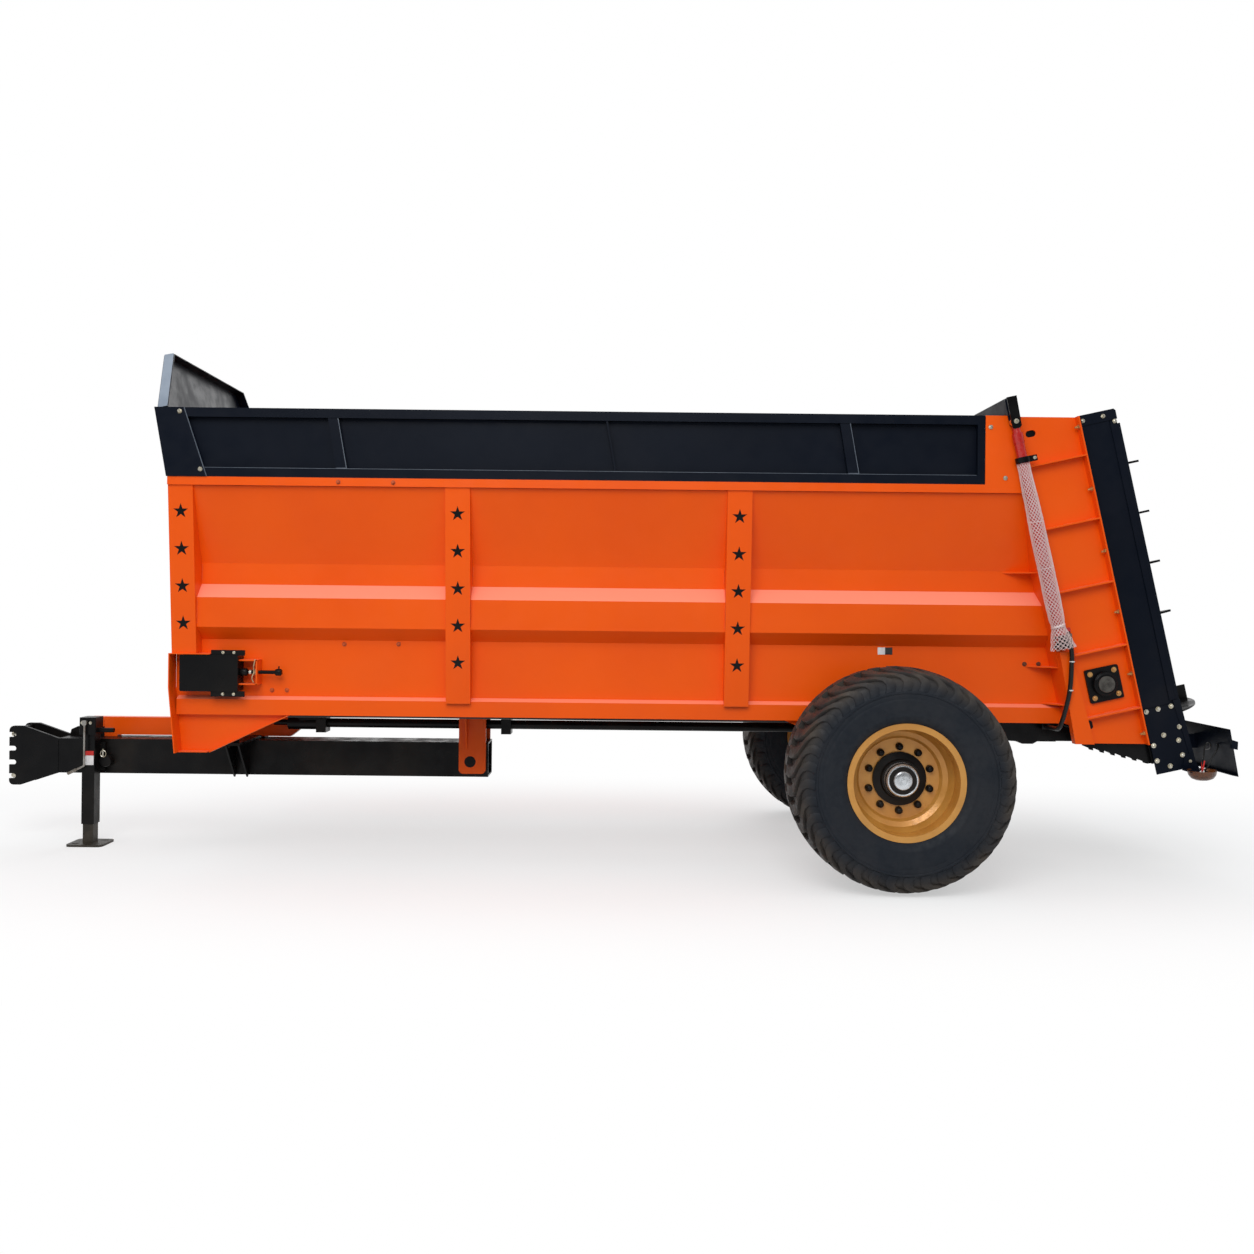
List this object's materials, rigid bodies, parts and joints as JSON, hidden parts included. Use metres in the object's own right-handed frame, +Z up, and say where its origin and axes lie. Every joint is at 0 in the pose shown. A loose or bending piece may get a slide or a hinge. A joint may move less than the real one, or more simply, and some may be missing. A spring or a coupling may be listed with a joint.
{
  "type": "single-axle manure spreader with vertical beaters",
  "caption": "Towed muck spreader: deep narrow hopper with chain-and-slat floor, lifting slurry gate, upright spreading beaters, wide flotation wheels and a drawbar on its parking jack.",
  "frame": {"origin": "on the ground, under the middle of the machine's length and width", "axes": "+X forward towards the drawbar, +Y left, +Z up"},
  "size_m": [7.05, 2.5496, 2.8812],
  "materials": {
    "orange_paint": "semi-gloss",
    "black_paint": "semi-gloss",
    "board_black": "satin",
    "rim_gold": "satin",
    "tyre_rubber": "matt",
    "red_paint": "gloss",
    "bare_steel": "satin",
    "rod_chrome": "polished",
    "buffer_rubber": "matt",
    "net_foam": "matt",
    "hose_rubber": "satin",
    "lamp_amber": "gloss",
    "chain_steel": "satin"
  },
  "bodies": {
    "chassis": {"axle_beam": "black_paint", "axle_brackets": "orange_paint", "chassis_rails": "orange_paint", "cross_members": "black_paint", "front_brackets": "orange_paint", "front_bolster": "orange_paint", "drawbar_tube": "black_paint", "drawbar_head": "black_paint", "drawbar_bolster": "black_paint", "drawbar_stay": "orange_paint", "pivot_lugs": "orange_paint", "pivot_pin": "bare_steel", "spring_buffers": "buffer_rubber", "jack_tube": "black_paint", "jack_crank": "bare_steel", "hopper_side_left": "orange_paint", "hopper_side_right": "orange_paint", "hopper_front": "orange_paint", "top_rails": "orange_paint", "hopper_floor": "orange_paint", "side_posts": "orange_paint", "side_board_left": "board_black", "side_board_right": "board_black", "headboard": "board_black", "corner_gussets": "board_black", "floor_chains": "chain_steel", "chain_drive_shaft": "bare_steel", "chain_idler_shaft": "bare_steel", "shaft_bearings": "black_paint", "tensioner_guards": "black_paint", "tensioner_screws": "orange_paint", "rear_frame_left": "orange_paint", "rear_frame_right": "orange_paint", "beater_shield_left": "board_black", "beater_shield_right": "board_black", "beater_bed": "black_paint", "bed_end_plates": "board_black", "beater_top_beam": "black_paint", "cylinder_barrels": "red_paint", "cylinder_brackets": "black_paint", "net_sleeves": "net_foam", "driveline": "black_paint", "shaft_hangers": "black_paint", "pto_input": "bare_steel", "light_board": "board_black", "tail_lamps": "lamp_amber", "gate_hoses": "hose_rubber"},
    "wheel_left": {"tyre_left": "tyre_rubber", "rim_left": "rim_gold", "hub_left": "black_paint"},
    "wheel_right": {"tyre_right": "tyre_rubber", "rim_right": "rim_gold", "hub_right": "black_paint"},
    "gate": {"slurry_gate": "orange_paint", "gate_beam": "board_black", "cylinder_rods": "rod_chrome"},
    "beater_left_body": {"beater_left": "black_paint"},
    "beater_right_body": {"beater_right": "black_paint"},
    "jack": {"jack_leg": "black_paint"}
  },
  "joints": [
    {"name": "wheel_left_spin", "type": "hinge", "parent": "chassis", "child": "wheel_left", "pos_m": [-1.675, 1.023, 0.586], "axis": [0, 1, 0], "continuous": true},
    {"name": "wheel_right_spin", "type": "hinge", "parent": "chassis", "child": "wheel_right", "pos_m": [-1.675, -1.023, 0.586], "axis": [0, 1, 0], "continuous": true},
    {"name": "gate_lift", "type": "slide", "parent": "chassis", "child": "gate", "axis": [0.2198, 0, 0.9755], "range_m": [0, 0.95]},
    {"name": "beater_left_spin", "type": "hinge", "parent": "chassis", "child": "beater_left_body", "pos_m": [-3.00685, 0.4, 1.53985], "axis": [0.2198, 0, 0.9755], "continuous": true},
    {"name": "beater_right_spin", "type": "hinge", "parent": "chassis", "child": "beater_right_body", "pos_m": [-3.00685, -0.4, 1.53985], "axis": [0.2198, 0, 0.9755], "continuous": true},
    {"name": "jack_slide", "type": "slide", "parent": "chassis", "child": "jack", "axis": [0, 0, 1], "range_m": [-0.3, 0.1]}
  ],
  "couplings": [
    {"joint": "beater_right_spin", "follows": "beater_left_spin", "ratio": -1}
  ]
}
